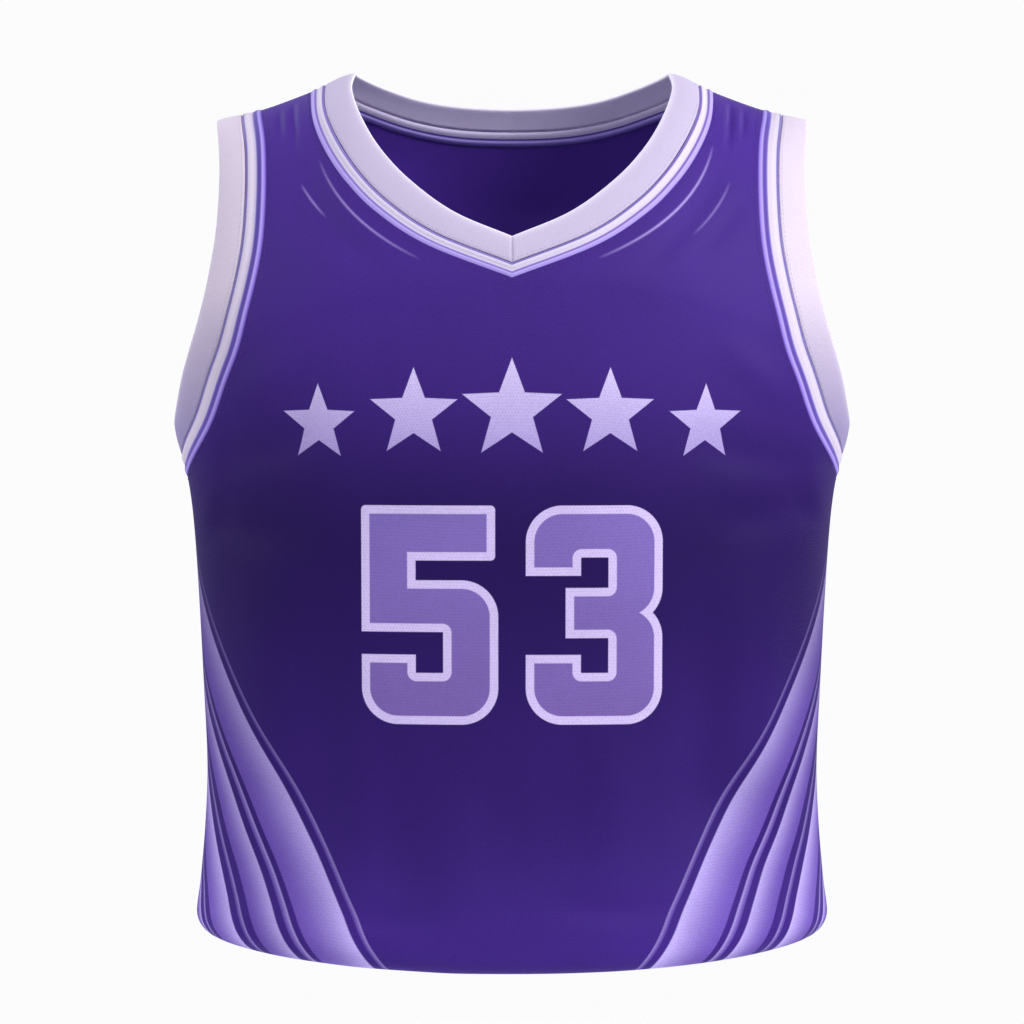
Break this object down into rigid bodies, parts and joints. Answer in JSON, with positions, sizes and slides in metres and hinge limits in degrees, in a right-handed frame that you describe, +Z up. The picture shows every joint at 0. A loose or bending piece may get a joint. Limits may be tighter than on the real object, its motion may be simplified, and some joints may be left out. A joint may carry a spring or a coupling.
{
  "type": "basketball jersey",
  "caption": "Sleeveless knit sports jersey, filled out as worn, with a banded V neck, wide armhole bands, striped tape at their seams and a hem rolled under.",
  "frame": {"origin": "midway between the two high neck points, at the wearer's shoulders, where the jersey is held up", "axes": "+Z up, the front of the jersey faces -Y, the wearer's left is +X"},
  "size_m": [0.4608, 0.2532, 0.5983],
  "materials": {
    "panel_knit": "deep purple fine polyester knit with a soft sheen and a printed lighter pattern",
    "band_rib": "pale lilac folded fine rib knit, matt",
    "striped_tape": "lilac knit tape with a white stripe between two thin dark lines"
  },
  "bodies": {
    "root": {"front_panel": "panel_knit", "back_panel": "panel_knit", "collar_trim": "striped_tape", "collar_band": "band_rib", "armhole_trim_left": "striped_tape", "armhole_band_left": "band_rib", "armhole_trim_right": "striped_tape", "armhole_band_right": "band_rib"}
  },
  "joints": []
}
